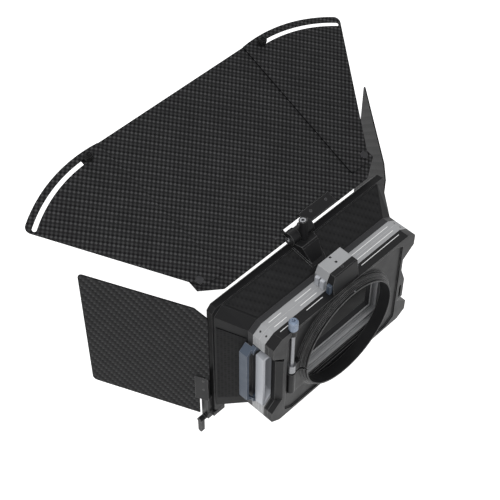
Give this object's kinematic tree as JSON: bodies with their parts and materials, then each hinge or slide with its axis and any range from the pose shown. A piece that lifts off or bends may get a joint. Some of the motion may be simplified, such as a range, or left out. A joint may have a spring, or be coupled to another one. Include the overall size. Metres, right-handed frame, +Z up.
{
  "type": "matte box",
  "caption": "Matte box with a clamp-on ring for a lens front, a carbon hood, sliding filter trays, a tilting top flag with swinging wings, and swinging side flags.",
  "frame": {"origin": "centre of the clamp ring's bore, at the ring's rear face", "axes": "+Y along the optical axis, from the mouth of the hood back towards the camera; +Z up; +X to the side that the trays slide out of"},
  "size_m": [0.395, 0.2337, 0.2609],
  "materials": {
    "carbon": "satin twill weave",
    "hood_black": "matt",
    "black_anodised": "fine satin anodised",
    "grey_anodised": "satin anodised",
    "pale_anodised": "satin anodised",
    "blue_anodised": "satin anodised",
    "steel": "brushed",
    "dark_steel": "blackened",
    "knob_black": "knurled"
  },
  "bodies": {
    "matte_box": {"hood_front_frame": "hood_black", "hood_shell": "hood_black", "hood_top_panel": "carbon", "hood_bottom_panel": "carbon", "hood_left_panel": "carbon", "hood_right_panel": "carbon", "hood_rear_frame": "hood_black", "front_filter_stage": "grey_anodised", "middle_filter_stage": "grey_anodised", "clamp_stage": "black_anodised", "corner_screws": "dark_steel", "lens_clamp_ring": "black_anodised", "ring_set_screw": "steel", "clamp_bush": "steel", "strap_lug": "black_anodised", "lock_housing": "grey_anodised", "rear_lock_housing": "black_anodised", "lock_housing_screws": "dark_steel", "flag_bracket": "black_anodised", "bracket_plate": "hood_black", "flag_hinge_pin": "steel", "lock_post": "black_anodised", "left_side_pin": "steel", "left_side_bracket": "black_anodised", "right_side_pin": "steel", "right_side_bracket": "black_anodised"},
    "front_tray": {"front_tray": "grey_anodised", "front_grip": "blue_anodised"},
    "middle_tray": {"middle_tray": "grey_anodised", "middle_grip": "pale_anodised"},
    "rear_tray": {"rear_tray": "black_anodised", "rear_grip": "black_anodised"},
    "front_lock": {"front_lock_bar": "pale_anodised"},
    "middle_lock": {"middle_lock_bar": "pale_anodised"},
    "rear_lock": {"rear_lock_bar": "blue_anodised"},
    "clamp_screw": {"clamp_rod": "steel", "clamp_knob": "blue_anodised"},
    "top_flag": {"top_flag_sheet": "carbon", "left_hinge_leaf": "black_anodised", "right_hinge_leaf": "black_anodised", "leaf_screws": "dark_steel", "wing_rivets": "dark_steel", "wing_nuts": "dark_steel"},
    "flag_lock_screw": {"post_screw": "steel"},
    "left_wing": {"left_wing": "carbon"},
    "right_wing": {"right_wing": "carbon"},
    "left_wing_knob": {"left_wing_knob": "knob_black"},
    "right_wing_knob": {"right_wing_knob": "knob_black"},
    "left_side_flag": {"left_side_flag": "carbon", "left_side_leaf": "black_anodised", "side_leaf_rivets_left": "dark_steel"},
    "right_side_flag": {"right_side_flag": "carbon", "right_side_leaf": "black_anodised", "side_leaf_rivets_right": "dark_steel"},
    "left_lever": {"left_lever": "knob_black"},
    "right_lever": {"right_lever": "knob_black"}
  },
  "joints": [
    {"name": "front_tray_slide", "type": "slide", "parent": "matte_box", "child": "front_tray", "axis": [1, 0, 0], "range_m": [0, 0.16]},
    {"name": "middle_tray_slide", "type": "slide", "parent": "matte_box", "child": "middle_tray", "axis": [1, 0, 0], "range_m": [0, 0.16]},
    {"name": "rear_tray_slide", "type": "slide", "parent": "matte_box", "child": "rear_tray", "axis": [1, 0, 0], "range_m": [0, 0.16]},
    {"name": "front_lock_slide", "type": "slide", "parent": "matte_box", "child": "front_lock", "axis": [1, 0, 0], "range_m": [-0.001, 0.002], "stiffness_N_per_m": 400},
    {"name": "middle_lock_slide", "type": "slide", "parent": "matte_box", "child": "middle_lock", "axis": [1, 0, 0], "range_m": [-0.001, 0.002], "stiffness_N_per_m": 400},
    {"name": "rear_lock_slide", "type": "slide", "parent": "matte_box", "child": "rear_lock", "axis": [1, 0, 0], "range_m": [-0.001, 0.002], "stiffness_N_per_m": 400},
    {"name": "clamp_screw_turn", "type": "hinge", "parent": "matte_box", "child": "clamp_screw", "pos_m": [0.07, -0.0085, 0], "axis": [0, 0, 1], "continuous": true},
    {"name": "top_flag_tilt", "type": "hinge", "parent": "matte_box", "child": "top_flag", "pos_m": [0, -0.0692, 0.0878], "axis": [-1, 0, 0], "range_deg": [-20, 38]},
    {"name": "flag_lock_screw_turn", "type": "hinge", "parent": "matte_box", "child": "flag_lock_screw", "pos_m": [0, -0.0623, 0.0846], "axis": [0, -0.1167, 0.9932], "continuous": true},
    {"name": "left_wing_swing", "type": "hinge", "parent": "top_flag", "child": "left_wing", "pos_m": [0.1075, -0.08669, 0.09587], "axis": [0, 0.3469, 0.9379], "range_deg": [-32.5, 0]},
    {"name": "right_wing_swing", "type": "hinge", "parent": "top_flag", "child": "right_wing", "pos_m": [-0.1075, -0.08669, 0.09587], "axis": [0, -0.3469, -0.9379], "range_deg": [-32.5, 0]},
    {"name": "left_wing_knob_turn", "type": "hinge", "parent": "top_flag", "child": "left_wing_knob", "pos_m": [0.10957, -0.226, 0.1458], "axis": [0, 0.3469, 0.9379], "continuous": true},
    {"name": "right_wing_knob_turn", "type": "hinge", "parent": "top_flag", "child": "right_wing_knob", "pos_m": [-0.10957, -0.226, 0.1458], "axis": [0, 0.3469, 0.9379], "continuous": true},
    {"name": "left_side_flag_swing", "type": "hinge", "parent": "matte_box", "child": "left_side_flag", "pos_m": [0.1173, -0.0725, 0], "axis": [0, 0, 1], "range_deg": [-89.5, 25.5]},
    {"name": "right_side_flag_swing", "type": "hinge", "parent": "matte_box", "child": "right_side_flag", "pos_m": [-0.1173, -0.0725, 0], "axis": [0, 0, -1], "range_deg": [-103.9, 11.1]},
    {"name": "left_lever_turn", "type": "hinge", "parent": "matte_box", "child": "left_lever", "pos_m": [0.1235, -0.0707, -0.0844], "axis": [1, 0, 0], "range_deg": [0, 100]},
    {"name": "right_lever_turn", "type": "hinge", "parent": "matte_box", "child": "right_lever", "pos_m": [-0.1235, -0.0707, -0.0844], "axis": [1, 0, 0], "range_deg": [0, 100]}
  ]
}
